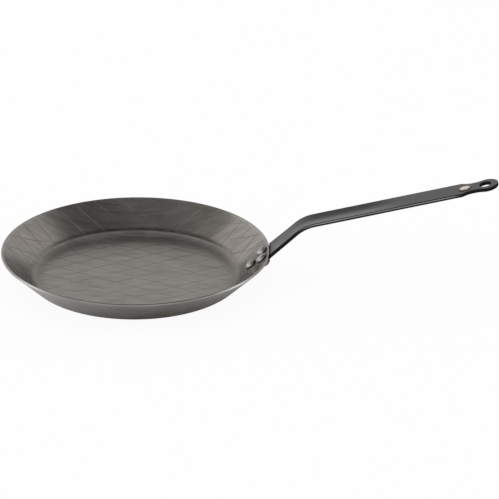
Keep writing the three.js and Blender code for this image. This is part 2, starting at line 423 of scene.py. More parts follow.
def pan_section():
    """From the middle of the cooking face, over the rim, to the middle of the underside."""
    quarter = math.pi / 2
    return Section((0, SHEET), [
        (BASE_RADIUS, 0),
        ((CORNER_RADIUS - SHEET) * WALL_ANGLE, WALL_ANGLE),
        (WALL_LENGTH - LIP_RADIUS, 0),
        (LIP_RADIUS * quarter, -quarter),
        (SHEET - 2 * LIP_RADIUS, 0),
        (LIP_RADIUS * quarter, -quarter),
        (WALL_LENGTH - LIP_RADIUS, 0),
        (CORNER_RADIUS * WALL_ANGLE, -WALL_ANGLE),
        (BASE_RADIUS, 0),
    ])


class Grooves:
    """One field of crossed grooves between two distances from the middle of the flat sheet."""

    # Where a groove is cut, as shares of its width
    CUTS = (-0.5, -0.25, 0, 0.25, 0.5)

    def __init__(self, inner, outer, on_wall, spacing, offsets, deepest):
        self.inner, self.outer, self.on_wall = inner, outer, on_wall
        self.spacing, self.deepest = spacing, deepest
        self.families = [
            (Vector((-math.sin(angle), math.cos(angle), 0)), offset)
            for angle, offset in zip((GROOVE_ANGLE, -GROOVE_ANGLE), offsets)
        ]

    def holds(self, distance):
        """Whether the field reaches this far from the middle."""
        return self.inner < distance < self.outer

    def cut(self, bm):
        """Cuts the flat sheet along the edges, flanks and middle of every groove."""
        count = int(self.outer / self.spacing) + 1
        for across, offset in self.families:
            for number in range(-count, count + 1):
                for share in self.CUTS:
                    self.cut_line(bm, across, offset + number * self.spacing + share * GROOVE_WIDTH)

    def cut_line(self, bm, across, place):
        """Cuts the field's faces along one straight line."""
        crossed = []
        for face in bm.faces:
            sides = [across.dot(v.co) - place for v in face.verts]
            if min(sides) < 0 < max(sides) and self.holds(face.calc_center_median().length):
                crossed.append(face)
        edges = {e for f in crossed for e in f.edges}
        verts = {v for f in crossed for v in f.verts}
        bmesh.ops.bisect_plane(
            bm, geom=[*verts, *edges, *crossed], dist=CUT_TOLERANCE,
            plane_co=across * place, plane_no=across,
        )

    def depth(self, point):
        """How deep the sheet is pressed at a flat point, and how the depth grows along x and y."""
        distance = math.hypot(*point)
        fade = 1 - smoothstep(distance, self.outer - GROOVE_FADE, self.outer)
        if self.on_wall:
            fade *= smoothstep(distance, self.inner, self.inner + GROOVE_FADE)
        depth, growth = 0, Vector((0, 0))
        for across, offset in self.families:
            from_line = (across.x * point[0] + across.y * point[1] - offset) / self.spacing
            from_line = (from_line - round(from_line)) * self.spacing
            if abs(from_line) < GROOVE_WIDTH / 2:
                deepest = self.deepest * fade * self.kept(across, point)
                turn = math.pi * from_line / GROOVE_WIDTH
                depth = max(depth, deepest * math.cos(turn) ** 2)
                growth -= across.xy * deepest * math.pi / GROOVE_WIDTH * math.sin(2 * turn)
        return depth, growth

    def kept(self, across, point):
        """How much of a groove is left: turning the wall up irons out the grooves that run round it."""
        if not self.on_wall:
            return 1
        outward = abs(across.y * point[0] - across.x * point[1]) / math.hypot(*point)
        return smoothstep(outward, IRONED_START, IRONED_END)


def far_share(out):
    """How much a way out from the middle belongs to the far side."""
    return smoothstep(out.y, FAR_START, FAR_FULL)


def less_at_sides(share, out):
    """1 on the far side and only a share of it elsewhere."""
    return share + (1 - share) * far_share(out)


def pan_rings(section):
    """How far from its middle the flat sheet is divided into rings."""
    base_end, corner_end, wall_end = section.ends()[:3]
    turn_up_length = base_end - GROOVE_FADE - TURN_UP_START
    return [
        *[TURN_UP_START + turn_up_length * i / CORNER_STEPS for i in range(CORNER_STEPS + 1)],
        base_end,
        *section.steps(1, CORNER_STEPS),
        corner_end + LIGHT_LINE_WIDTH,
        corner_end + FOOT_SHADE_START,
        corner_end + FOOT_SHADE_FULL,
        corner_end + GROOVE_FADE,
        corner_end + (FOOT_SHADE_FULL + FOOT_SHADE_END) / 2,
        corner_end + FOOT_SHADE_END,
        wall_end - GROOVE_FADE,
        wall_end,
        *section.steps(3, LIP_STEPS),
        *section.steps(4, 1),
        *section.steps(5, LIP_STEPS),
        *section.steps(6, 2),
        *section.steps(7, CORNER_STEPS),
    ]


def flat_pan(rings, fields):
    """The flat sheet, both faces in one disc, divided into rings and cut along its grooves."""
    bm = bmesh.new()
    turns = [2 * math.pi * i / ROUND_STEPS for i in range(ROUND_STEPS)]
    loops = [[bm.verts.new((r * math.cos(t), r * math.sin(t), 0)) for t in turns] for r in rings]
    bm.faces.new(loops[0])
    for inner, outer in zip(loops, loops[1:]):
        for i in range(ROUND_STEPS):
            bm.faces.new((inner[i - 1], outer[i - 1], outer[i], inner[i]))
    for field in fields:
        field.cut(bm)
    bm.faces.new(list(reversed(loops[-1])))
    bm.verts.index_update()
    return bm


def pan_marks(section, distance, out):
    """How much each mark of the steel shows at a distance from the middle of the flat sheet. Among them are
    painted light, painted shade and painted highlights.
    """
    _, corner_end, wall_end, _, _, lip_end = section.ends()[:6]
    above = distance - corner_end
    far = far_share(out)
    # Painted light: a light line at the far wall's foot and a pale band on the base below it
    pale = PALE_SHARE * bell(above + PALE_DOWN, PALE_WIDTH)
    # Painted shade on the far wall just above its foot
    foot_shade = smoothstep(above, FOOT_SHADE_START, FOOT_SHADE_FULL) - smoothstep(above, FOOT_SHADE_FULL, FOOT_SHADE_END)
    # Darker in patches along the rest of the corner
    corner_dark = smoothstep(above, -CORNER_DARK_START, -CORNER_DARK_FULL) - smoothstep(above, -CORNER_DARK_FADE, CORNER_DARK_END)
    dull = smoothstep(distance, DULL_START, corner_end) - smoothstep(above, 0, DULL_END)
    on_lip = wall_end - CUT_TOLERANCE < distance < lip_end + CUT_TOLERANCE
    # Two painted highlights over the near lip
    from_highlight = math.asin(min(max(-out.y, -1), 1)) - LIP_HIGHLIGHT_TURN
    over_lip = distance - wall_end - LIP_HIGHLIGHT_AT
    return {
        "painted_light": far * (bell(above, LIGHT_LINE_WIDTH) + pale),
        "foot_shade": far * foot_shade,
        "corner_dark": (1 - far) * corner_dark,
        "dull": dull * less_at_sides(SIDE_DULL, out),
        "accent": float(on_lip),
        "lip_highlight": bell(from_highlight, LIP_HIGHLIGHT_SPREAD) * bell(over_lip, LIP_HIGHLIGHT_WIDTH),
    }


def make_pan(material):
    """The sheet is laid out as a flat disc, cut along its grooves, and then turned up into the pan."""
    section = pan_section()
    base_end, corner_end, wall_end, _, _, lip_end = section.ends()[:6]
    fields = [
        Grooves(0, base_end, False, BASE_SPACING, BASE_OFFSETS, BASE_DEPTH),
        Grooves(corner_end, wall_end, True, WALL_SPACING, WALL_OFFSETS, WALL_DEPTH),
    ]
    bm = flat_pan(pan_rings(section), fields)
    points, normals, sheet, marks = [], [], [], []
    for vert in bm.verts:
        distance = vert.co.length
        turn = math.atan2(vert.co.y, vert.co.x)
        (radius, height), heading = section.at(distance)
        out = Vector((math.cos(turn), math.sin(turn), 0))
        round_way = Vector((-out.y, out.x, 0))
        up_way = out * math.cos(heading) + Vector((0, 0, math.sin(heading)))
        normal = out * -math.sin(heading) + Vector((0, 0, math.cos(heading)))
        turn_up = TURN_UP * smoothstep(distance, TURN_UP_START, base_end) if distance < corner_end else 0
        turn_up *= (1 - heading / WALL_ANGLE) * less_at_sides(SIDE_TURN, out)
        depth, growth = 0, Vector((0, 0))
        for field in fields:
            if field.inner <= distance <= field.outer:
                depth, growth = field.depth(vert.co.xy)
        tilt = up_way * growth.dot(out.xy) + round_way * growth.dot(round_way.xy)
        points.append(out * radius + Vector((0, 0, height)) - normal * depth)
        normals.append((normal + tilt - up_way * math.tan(turn_up)).normalized())
        face_height = -SHEET * smoothstep(distance, wall_end, lip_end)
        from_middle = min(distance, section.length - distance)
        sheet.append(vert.co.normalized() * from_middle + Vector((0, 0, face_height)))
        marks.append({"groove": depth / WALL_DEPTH, **pan_marks(section, distance, out)})
    faces = [[v.index for v in f.verts] for f in bm.faces]
    bm.free()
    return new_piece("pan_shell", "pan_body", material, points, faces, normals, sheet, marks)


def bar_step(along):
    """How far the strip's top face stands above the plate's; the underside runs straight on."""
    return (BAR_THICKNESS - PLATE_THICKNESS) * smoothstep(along, STEP_START, STEP_START + STEP_LENGTH)


def bar_line(along):
    """The strip's top face on the middle plane: radius, height and slope."""
    rise = min(along, RISE_LENGTH)
    bent = min(max(along - RISE_LENGTH, 0), BEND_LENGTH)
    straight = max(along - BEND_END, 0)
    slope = WALL_ANGLE - bent / BEND_RADIUS
    lift = bar_step(along) - SEAT_GAP
    radius = RIM_RADIUS + rise * COS_WALL - lift * SIN_WALL
    radius += BEND_RADIUS * (SIN_WALL - math.sin(slope)) + straight * math.cos(slope)
    height = RIM_HEIGHT + rise * SIN_WALL + lift * COS_WALL
    height += BEND_RADIUS * (math.cos(slope) - COS_WALL) + straight * math.sin(slope)
    return radius, height, slope


def dish(along, across):
    """Bending leaves the strip a little hollow across, deepest where the grip begins."""
    hollow = smoothstep(along, DISH_START, BEND_END)
    hollow -= smoothstep(along, BEND_END + DISH_HOLD, BEND_END + DISH_END)
    slope = math.hypot(2 * across / GRIP_WIDTH, DISH_VALLEY) - DISH_VALLEY
    return DISH_DEPTH * hollow * max(1 - slope / (math.hypot(1, DISH_VALLEY) - DISH_VALLEY), 0)


def bar_point(along, across, under):
    """A point of the strip, wrapped round the wall and thinner at the plate, and flat from the bend on."""
    radius, height, slope = bar_line(along)
    thinning = (PLATE_THICKNESS + bar_step(along)) / BAR_THICKNESS
    under = under * thinning + dish(along, across)
    reach = radius + under * math.sin(slope)
    turn = across / reach
    wrapped = Vector((reach * math.cos(turn), reach * math.sin(turn), 0))
    plain = Vector((reach, across, 0))
    place = wrapped.lerp(plain, smoothstep(along, 0, RISE_LENGTH))
    place.z = height - under * math.cos(slope)
    return place


def bar_normal(along, across, under, lean):
    """The strip's normal there, from its normal when flat: along, across and up."""
    along_way = bar_point(along + PROBE, across, under) - bar_point(along - PROBE, across, under)
    across_way = bar_point(along, across + PROBE, under) - bar_point(along, across - PROBE, under)
    along_way.normalize()
    across_way.normalize()
    up_way = along_way.cross(across_way)
    return (along_way * lean[0] + across_way * lean[1] + up_way * lean[2]).normalized()


def bar_outline():
    """One side of the flat strip, as (along, half width) from the plate's end to the eye's end."""
    half_spacing = RIVET_SPACING / 2
    half_grip = GRIP_WIDTH / 2
    half_neck = NECK_WIDTH / 2
    quarter = math.pi / 2
    lean = math.atan2(half_spacing, RIVET_DROP)
    lobe_end = math.asin(1 - LOBE_OVERHANG / PLATE_MARGIN)
    flare = (EYE_AT + EYE_RADIUS * math.cos(FLARE_ANGLE), EYE_RADIUS * math.sin(FLARE_ANGLE))
    flare_way = FLARE_ANGLE - quarter
    lead = SHOULDER_LENGTH * CURVE_LEAD
    eye_lead = (flare[0] - NECK_AT) * CURVE_LEAD
    shoulder = (SHOULDER_AT, half_grip)
    shoulder_lead = (SHOULDER_AT + lead, half_grip + (half_neck - half_grip) * SHOULDER_DROP)
    neck = (NECK_AT, half_neck)
    return [
        *arc((LOWER_RIVET_AT, 0), PLATE_MARGIN, math.pi - END_FLAT, quarter + lean, OUTLINE_STEPS),
        *arc((UPPER_RIVET_AT, half_spacing), PLATE_MARGIN, quarter + lean, lobe_end, OUTLINE_STEPS),
        (BEND_END, half_grip),
        shoulder,
        *bezier(shoulder, shoulder_lead, (NECK_AT - lead, half_neck), neck, OUTLINE_STEPS),
        *bezier(neck, (NECK_AT + eye_lead, half_neck),
                (flare[0] - eye_lead * math.cos(flare_way), flare[1] - eye_lead * math.sin(flare_way)),
                flare, OUTLINE_STEPS),
        *arc((EYE_AT, 0), EYE_RADIUS, FLARE_ANGLE, END_FLAT, 2 * OUTLINE_STEPS)[1:],
    ]


def shrink(line, inset):
    """An open line drawn from low to high along, moved towards the middle by an inset."""
    moved = []
    for i, point in enumerate(line):
        before = Vector(line[max(i - 1, 0)])
        after = Vector(line[min(i + 1, len(line) - 1)])
        way = (after - before).normalized()
        moved.append((point[0] + way.y * inset, point[1] - way.x * inset))
    return moved


def flat_bar(recess):
    """The strip's face laid flat: points (along, across) and faces, open at the eye and, if asked, the
    recess."""
    half = shrink(bar_outline(), BAR_EDGE)
    openings = [(HOLE_AT, HOLE_DIAMETER / 2 + HOLE_EDGE)]
    if recess:
        openings.insert(0, (BADGE_AT, RECESS_RADIUS))
    loop = [(half[0][0], 0)]
    for middle, radius in openings:
        loop += arc((middle, 0), radius, math.pi, 0, 2 * OUTLINE_STEPS)
    loop.append((half[-1][0], 0))
    loop += reversed(half)

    bm = bmesh.new()
    bm.faces.new([bm.verts.new((x, y, 0)) for x, y in loop])
    cuts = []
    place = half[0][0]
    while place < half[-1][0]:
        place += FINE_CUT if place < BEND_END else COARSE_CUT
        cuts.append(((place, 0, 0), (1, 0, 0)))
    cuts += [((STEP_START + STEP_LENGTH * i / EDGE_STEPS, 0, 0), (1, 0, 0)) for i in range(EDGE_STEPS + 1)]
    cuts += [((0, GRIP_WIDTH / 2 * share, 0), (0, 1, 0)) for share in WIDTH_CUTS]
    for place, way in cuts:
        bmesh.ops.bisect_plane(
            bm, geom=[*bm.verts, *bm.edges, *bm.faces], dist=CUT_TOLERANCE, plane_co=place, plane_no=way
        )
    mirror = bmesh.ops.duplicate(bm, geom=[*bm.verts, *bm.edges, *bm.faces])["geom"]
    for vert in [g for g in mirror if isinstance(g, bmesh.types.BMVert)]:
        vert.co.y = -vert.co.y
    bmesh.ops.reverse_faces(bm, faces=[g for g in mirror if isinstance(g, bmesh.types.BMFace)])
    bmesh.ops.remove_doubles(bm, verts=bm.verts, dist=MERGE_DISTANCE)
    bm.verts.index_update()
    points = [(v.co.x, v.co.y) for v in bm.verts]
    faces = [[v.index for v in f.verts] for f in bm.faces]
    bm.free()
    return points, faces


def border_loops(faces):
    """The closed loops of edges that only one face uses, in the order that the faces give them."""
    edges = {(f[i - 1], f[i]) for f in faces for i in range(len(f))}
    follows = {a: b for a, b in edges if (b, a) not in edges}
    loops = []
    while follows:
        start = next(iter(follows))
        loop = [start]
        while follows[loop[-1]] != start:
            loop.append(follows[loop[-1]])
        for index in loop:
            follows.pop(index)
        loops.append(loop)
    return loops


class Bar:
    """The strip while it is still flat: points (along, across, under), their normals, and faces."""

    def __init__(self):
        self.points, self.leans, self.rubs, self.faces = [], [], [], []

    def add(self, point, lean, rub=0.0):
        """A new point, with its normal and how much of the bright stripe it has, partly rubbed and partly a
        painted highlight. Returns its number.
        """
        self.points.append(point)
        self.leans.append(lean)
        self.rubs.append(rub)
        return len(self.points) - 1

    def face_layer(self, under, up, recess):
        """A whole face of the strip. Returns its border loops."""
        points, faces = flat_bar(recess)
        first = len(self.points)
        for x, y in points:
            self.add((x, y, under), (0, 0, up))
        faces = [[first + i for i in f] for f in faces]
        loops = border_loops(faces)
        self.faces += faces if up > 0 else [list(reversed(f)) for f in faces]
        return loops

    def goes_round(self, loop, along):
        """Whether a loop is a circle round a place on the strip's middle line."""
        reaches = [math.hypot(self.points[i][0] - along, self.points[i][1]) for i in loop]
        return max(reaches) - min(reaches) < ROUND_TOLERANCE

    def place_key(self, index):
        """A point's flat place in whole steps, the same for the points above and below each other."""
        return tuple(round(x / CUT_TOLERANCE) for x in self.points[index][:2])

    def out_ways(self, loop):
        """The way out of the strip, across its border, at each point of a loop."""
        ways = []
        for i in range(len(loop)):
            before, after = self.points[loop[i - 1]], self.points[loop[(i + 1) % len(loop)]]
            way = Vector((after[1] - before[1], before[0] - after[0]))
            ways.append(way.normalized())
        return ways

    def band(self, lower, upper):
        """A row of faces between two loops of the same count, the upper one on the left going round."""
        for i in range(len(upper)):
            self.faces.append((upper[i - 1], lower[i - 1], lower[i], upper[i]))

    def round_edge(self, loop, rows):
        """Rows of points outwards and down from a border loop: each row is (out, down, angle, share of the
        bright stripe), and the stripe is partly rubbed and partly a painted highlight."""
        ways = self.out_ways(loop)
        starts = [self.points[i] for i in loop]
        place = (0, 0)
        for out, down, angle, rub in rows:
            row = []
            for (x, y, under), way in zip(starts, ways):
                lean = (way.x * math.cos(angle), way.y * math.cos(angle), math.sin(angle))
                row.append(self.add((x + way.x * out, y + way.y * out, under + down), lean, rub))
            if (out, down) != place:
                self.band(row, loop)
            loop, place = row, (out, down)
        return loop


def edge_rows(radius, drop, band):
    """The strip's edge from its top face's border: a crisp top, a band of (down, share of the bright
    stripe) and a round bottom. The stripe is partly rubbed and partly a painted highlight.
    """
    rows = []
    turns = [math.pi / 2 * (1 - i / EDGE_STEPS) for i in range(1, EDGE_STEPS + 1)]
    for turn in turns:
        lean = math.atan2(math.sin(turn) / drop, math.cos(turn) / radius)
        rows.append((radius * math.cos(turn), drop * (1 - math.sin(turn)), lean, 0))
    rows += [(radius, down, 0, rub) for down, rub in band]
    for turn in reversed(turns):
        rows.append((radius * math.cos(turn), BAR_THICKNESS - radius * (1 - math.sin(turn)), -turn, 0))
    return rows


def make_handle(material):
    """The strip is built flat, with its rounded edges, eye and recess, and then bent to shape."""
    bar = Bar()
    top_loops = bar.face_layer(0, 1, True)
    bottom_loops = bar.face_layer(BAR_THICKNESS, -1, False)
    below = {bar.place_key(i): i for loop in bottom_loops for i in loop}
    recess = [(0, 0, 0, 0), (0, BADGE_DEPTH, 0, 0), (0, BADGE_DEPTH, math.pi / 2, 0)]
    for loop in top_loops:
        if bar.goes_round(loop, BADGE_AT):
            bar.faces.append(list(reversed(bar.round_edge(loop, recess))))
            continue
        if bar.goes_round(loop, HOLE_AT):
            last = bar.round_edge(loop, edge_rows(HOLE_EDGE, HOLE_EDGE, ()))
        else:
            last = bar.round_edge(loop, edge_rows(BAR_EDGE, TOP_EDGE_DROP, RUBBED_HIGHLIGHT_BAND))
        bar.band([below[bar.place_key(i)] for i in loop], last)
    points = [bar_point(*p) for p in bar.points]
    normals = [bar_normal(*p, lean) for p, lean in zip(bar.points, bar.leans)]
    step_end = STEP_START + STEP_LENGTH
    marks = []
    for (along, _, _), lean, rub in zip(bar.points, bar.leans, bar.rubs):
        # The grip's bright stripe: partly rubbed, partly a painted highlight, from the bend to the shoulder
        accent = rub * smoothstep(along, RISE_LENGTH, BEND_END)
        accent *= 1 - smoothstep(along, SHOULDER_AT - SHOULDER_LENGTH, SHOULDER_AT)
        # Painted shade in the crevice behind the rim, and on the sides where there is no stripe
        at_step = 1 - smoothstep(along, step_end, step_end + ROOT_SHADE_FADE)
        on_side = (1 - abs(lean[2])) * (1 - accent)
        marks.append({"accent": accent, "handle_shade": max(at_step, on_side)})
    return new_piece(
        "handle_strip", "handle", material, points, bar.faces, normals, bar.points, marks
    )


def turned(profile, steps):
    """A body turned from a profile of (radius, height) that starts and ends on its axis."""
    points = [(0, 0, profile[0][1])]
    for radius, height in profile[1:-1]:
        for i in range(steps):
            turn = 2 * math.pi * i / steps
            points.append((radius * math.cos(turn), radius * math.sin(turn), height))
    points.append((0, 0, profile[-1][1]))
    rows = len(profile) - 2
    last = len(points) - 1
    faces = []
    for i in range(steps):
        j = (i + 1) % steps
        faces.append((0, 1 + i, 1 + j))
        for row in range(rows - 1):
            a, b = 1 + row * steps, 1 + (row + 1) * steps
            faces.append((a + i, b + i, b + j, a + j))
        end = 1 + (rows - 1) * steps
        faces.append((end + i, last, end + j))
    return points, faces


def dome(radius, seat, height, steps):
    """A low dome's profile from its top on the axis to its edge on the seat."""
    profile = []
    for i in range(steps + 1):
        turn = math.pi / 2 * i / steps
        across = math.sin(turn) ** (2 / DOME_FULLNESS)
        up = max(math.cos(turn), 0) ** (2 / DOME_FULLNESS)
        profile.append((radius * across, seat + height * up))
    return profile


def auto_normals(points, faces):
    """Smooth normals: each point's faces are averaged by their area."""
    sums = [Vector((0, 0, 0)) for _ in points]
    for face in faces:
        corners = [Vector(points[i]) for i in face]
        area_way = Vector((0, 0, 0))
        for i in range(1, len(corners) - 1):
            area_way += (corners[i] - corners[0]).cross(corners[i + 1] - corners[0])
        for i in face:
            sums[i] += area_way
    return [s.normalized() for s in sums]


def rivet_place(along, across):
    """The rivet's seat on the outer wall and its axis, which points into the pan."""
    radius = RIM_RADIUS + along * COS_WALL
    height = RIM_HEIGHT + along * SIN_WALL
    turn = across / radius
    out = Vector((math.cos(turn), math.sin(turn), 0))
    return out * radius + Vector((0, 0, height)), out * -SIN_WALL + Vector((0, 0, COS_WALL))


def make_rivet(node, along, across, spin, material):
    """A set rivet: a dented dome inside the pan, the shank, and a smaller dome under the plate."""
    head_seat = SHEET + SEAT_GAP
    tail_seat = -(SEAT_GAP + PLATE_THICKNESS + SEAT_GAP)
    head = dome(HEAD_DIAMETER / 2, head_seat, HEAD_HEIGHT, DOME_STEPS)
    tail = dome(TAIL_DIAMETER / 2, -tail_seat, TAIL_HEIGHT, DOME_STEPS)
    profile = [
        *head,
        (SHANK_DIAMETER / 2, head_seat),
        (SHANK_DIAMETER / 2, tail_seat),
        *[(radius, -height) for radius, height in reversed(tail)],
    ]
    points, faces = turned(profile, RIVET_ROUND_STEPS)
    shaped, marks = [], []
    for x, y, z in points:
        up = z - head_seat
        toward = (x * HIGHLIGHT_WAY[0] + y * HIGHLIGHT_WAY[1]) / (HEAD_DIAMETER / 2)
        # Painted shade with some dirt at the head's foot, a darker tail, and a painted highlight on one
        # side
        marks.append({
            "shade_and_dirt": 1 - smoothstep(up, HEAD_SHADE_FULL, HEAD_SHADE_END) if z > 0 else TAIL_DARKENING,
            "accent": smoothstep(toward, HIGHLIGHT_START, HIGHLIGHT_FULL),
        })
        if up > 0:
            way = math.atan2(y, x) + spin
            dent = TWO_DENTS * math.sin(2 * way) + THREE_DENTS * math.sin(3 * way + 2 * spin)
            z += dent * math.hypot(x, y) / (HEAD_DIAMETER / 2) * up / HEAD_HEIGHT
        shaped.append((x, y, z))
    seat, axis = rivet_place(along, across)
    turn = axis.to_track_quat("Z", "X")
    placed = [turn @ Vector(p) + seat for p in shaped]
    normals = auto_normals(placed, faces)
    return new_piece(node + "_set", node, material, placed, faces, normals, shaped, marks)


def make_badge(material):
    """A plain low dome inside a raised bead, let into the grip."""
    radius = BADGE_DIAMETER / 2
    field = radius - BADGE_BEAD
    bead = BADGE_BEAD / 2
    profile = [(0, BADGE_PROUD)]
    for i in range(1, DOME_STEPS + 1):
        share = i / DOME_STEPS
        profile.append((field * share, BADGE_PROUD - (BADGE_PROUD - BEAD_FOOT) * share ** 2))
    for x, rise in arc((radius - bead, 0), bead, math.pi, 0, DOME_STEPS)[1:]:
        profile.append((x, min(BEAD_FOOT + BEAD_FLATNESS * rise, BADGE_PROUD)))
    profile.append((radius, -BADGE_DEPTH + SEAT_GAP))
    profile.append((0, -BADGE_DEPTH + SEAT_GAP))
    points, faces = turned(profile, BADGE_ROUND_STEPS)
    centre, height, slope = bar_line(BADGE_AT)
    axis = Vector((-math.sin(slope), 0, math.cos(slope)))
    turn = axis.to_track_quat("Z", "X")
    placed = [turn @ Vector(p) + Vector((centre, 0, height)) for p in points]
    normals = auto_normals(placed, faces)
    marks = [
        {"accent": smoothstep(math.hypot(x, y), field - TARNISH_IN, field + TARNISH_OUT)}
        for x, y, _ in points
    ]
    return new_piece(
        "badge_disc", "handle_badge", material, placed, faces, normals, points, marks
    )


class Nodes:
    """A node tree under construction."""

    def __init__(self, tree):
        self.tree = tree

    def node(self, kind, **settings):
        """A new node with some of its settings made."""
        made = self.tree.nodes.new(kind)
        for key, value in settings.items():
            setattr(made, key, value)
        return made

    def link(self, source, target):
        """Joins an output to an input."""
        self.tree.links.new(source, target)

    def spread(self, value, source, target):
        """A value carried from one range (low, high) to another and held there."""
        ranged = self.node("ShaderNodeMapRange")
        for key, number in zip(("From Min", "From Max", "To Min", "To Max"), (*source, *target)):
            ranged.inputs[key].default_value = number
        self.link(value, ranged.inputs["Value"])
        return ranged.outputs["Result"]

    def scaled(self, value, factor):
        """A value between 0 and 1, times a factor."""
        return self.spread(value, (0, 1), (0, factor))

    def maths(self, operation, first, second):
        """Two values put together by a named operation."""
        maths = self.node("ShaderNodeMath", operation=operation)
        self.link(first, maths.inputs[0])
        self.link(second, maths.inputs[1])
        return maths.outputs["Value"]

    def sum(self, first, second):
        """Two values added together."""
        return self.maths("ADD", first, second)

    def product(self, first, second):
        """Two values multiplied."""
        return self.maths("MULTIPLY", first, second)

    def blend(self, share, first, second):
        """Two colours mixed by a share; each is a colour or the output of another node."""
        mix = self.node("ShaderNodeMix", data_type="RGBA")
        self.link(share, mix.inputs["Factor"])
        for socket, colour in ((mix.inputs[6], first), (mix.inputs[7], second)):
            if isinstance(colour, tuple):
                socket.default_value = (*colour, 1)
            else:
                self.link(colour, socket)
        return mix.outputs[2]


class Surface(Nodes):
    """A node material under construction."""

    def __init__(self, name):
        self.material = bpy.data.materials.new(name)
        self.material.use_nodes = True
        super().__init__(self.material.node_tree)
        self.shader = self.tree.nodes["Principled BSDF"]

    def layer(self, name, output="Fac"):
        """A named value at the mesh's points."""
        return self.node("ShaderNodeAttribute", attribute_name=name).outputs[output]

    def noise(self, scale, detail, roughness=0.5):
        """Noise over the flat metal. Scale is in features per metre, along, across and up."""
        mapping = self.node("ShaderNodeMapping")
        mapping.inputs["Scale"].default_value = scale
        self.link(self.layer("sheet", "Vector"), mapping.inputs["Vector"])
        noise = self.node("ShaderNodeTexNoise")
        noise.inputs["Scale"].default_value = 1.0
        noise.inputs["Detail"].default_value = detail
        noise.inputs["Roughness"].default_value = roughness
        self.link(mapping.outputs["Vector"], noise.inputs["Vector"])
        return noise.outputs["Fac"]

    def bump(self, height, strength, distance):
        """Small unevenness in the shading."""
        bump = self.node("ShaderNodeBump")
        bump.inputs["Strength"].default_value = strength
        bump.inputs["Distance"].default_value = distance
        self.link(height, bump.inputs["Height"])
        self.link(bump.outputs["Normal"], self.shader.inputs["Normal"])


def pan_material():
    """Oiled carbon steel: warm grey with rolled streaks, blots and soft clouds, a little darker and duller
    in its grooves, with painted light and shade at the far wall's foot, darker patches along the rest of
    the corner, rubbed brighter on the lip and two painted highlights over the near lip."""
    s = Surface("oiled_carbon_steel")
    clouds = s.noise((26, 26, 26), 3)
    blots = s.noise((34, 150, 90), 4, 0.6)
    streaks = s.noise((14, 330, 200), 4, 0.6)
    grain = s.noise((900, 900, 900), 2)
    tone = s.sum(s.spread(clouds, NOISE_RANGE, (0, 0.45)), s.spread(streaks, NOISE_RANGE, (-0.06, 0.38)))
    tone = s.sum(tone, s.spread(blots, (0.35, 0.75), (-0.07, 0.45)))
    steel = s.blend(tone, STEEL_DARK, STEEL_LIGHT)
    groove = s.product(s.layer("groove"), s.spread(clouds, (0.35, 0.65), (0.45, 1)))
    steel = s.blend(s.scaled(groove, GROOVE_SHARE), steel, STEEL_GROOVE)
    # Painted shade on the far wall just above its foot
    shaded_foot = s.spread(s.product(s.layer("foot_shade"), blots), (0, 0.55), (0, FOOT_SHADE_SHARE))
    steel = s.blend(shaded_foot, steel, STEEL_FOOT_SHADE)
    # Darker in patches along the rest of the corner
    corner_patches = s.spread(s.sum(blots, clouds), (0.95, 1.2), (0, CORNER_DARK_SHARE))
    steel = s.blend(s.product(s.layer("corner_dark"), corner_patches), steel, STEEL_CORNER_DARK)
    # Painted light at the far wall's foot: a light line and a pale band below it
    lightened = s.spread(s.product(s.layer("painted_light"), blots), (0.1, 0.6), (0, PAINTED_LIGHT_SHARE))
    steel = s.blend(lightened, steel, STEEL_PAINTED_LIGHT)
    rubbed = s.product(s.layer("accent"), s.spread(clouds, NOISE_RANGE, (0.6, 1)))
    steel = s.blend(s.scaled(rubbed, LIP_SHARE), steel, STEEL_LIP)
    # Two painted highlights over the near lip
    steel = s.blend(s.scaled(s.layer("lip_highlight"), LIP_HIGHLIGHT_SHARE), steel, STEEL_LIP_HIGHLIGHT)
    s.link(steel, s.shader.inputs["Base Color"])
    rough = s.spread(s.sum(streaks, clouds), PAIR_RANGE, (0.18, 0.26))
    rough = s.sum(rough, s.scaled(s.layer("dull"), DULL_ROUGH))
    rough = s.sum(rough, s.scaled(groove, GROOVE_ROUGH))
    s.link(rough, s.shader.inputs["Roughness"])
    s.shader.inputs["Metallic"].default_value = STEEL_METALLIC
    s.shader.inputs["Specular Tint"].default_value = (*STEEL_EDGE_TINT, 1)
    s.bump(s.sum(streaks, s.scaled(grain, 0.1)), strength=0.05, distance=0.1 * MM)
    return s.material


def handle_material():
    """A dark baked coating on steel: nearly black and softly glossy, with a bright line along the grip's
    sides, partly rubbed and partly a painted highlight, and matt with painted shade at the root and on the
    rest of the edges."""
    s = Surface("dark_coated_steel")
    clouds = s.noise((40, 60, 60), 3)
    drawn = s.noise((25, 700, 400), 4, 0.6)
    grain = s.noise((1400, 1400, 1400), 2)
    coat = s.blend(clouds, COAT_DARK, COAT_LIGHT)
    # The bright stripe along the grip's sides: partly rubbed, partly a painted highlight
    rubbed = s.product(s.layer("accent"), s.spread(drawn, NOISE_RANGE, (0.6, 1)))
    s.link(s.blend(rubbed, coat, COAT_RUBBED_HIGHLIGHT), s.shader.inputs["Base Color"])
    rough = s.spread(s.sum(drawn, clouds), PAIR_RANGE, (0.15, 0.22))
    # Painted shade at the root and on the sides: a rougher coating with less gloss
    handle_shade = s.layer("handle_shade")
    s.link(s.sum(rough, s.scaled(handle_shade, HANDLE_SHADE_ROUGH)), s.shader.inputs["Roughness"])
    s.link(s.spread(handle_shade, (0, 1), (COAT_GLOSS, HANDLE_SHADE_GLOSS)), s.shader.inputs["Specular IOR Level"])
    s.shader.inputs["IOR"].default_value = COAT_IOR
    s.bump(s.sum(drawn, s.scaled(grain, 0.5)), strength=0.2, distance=0.1 * MM)
    return s.material


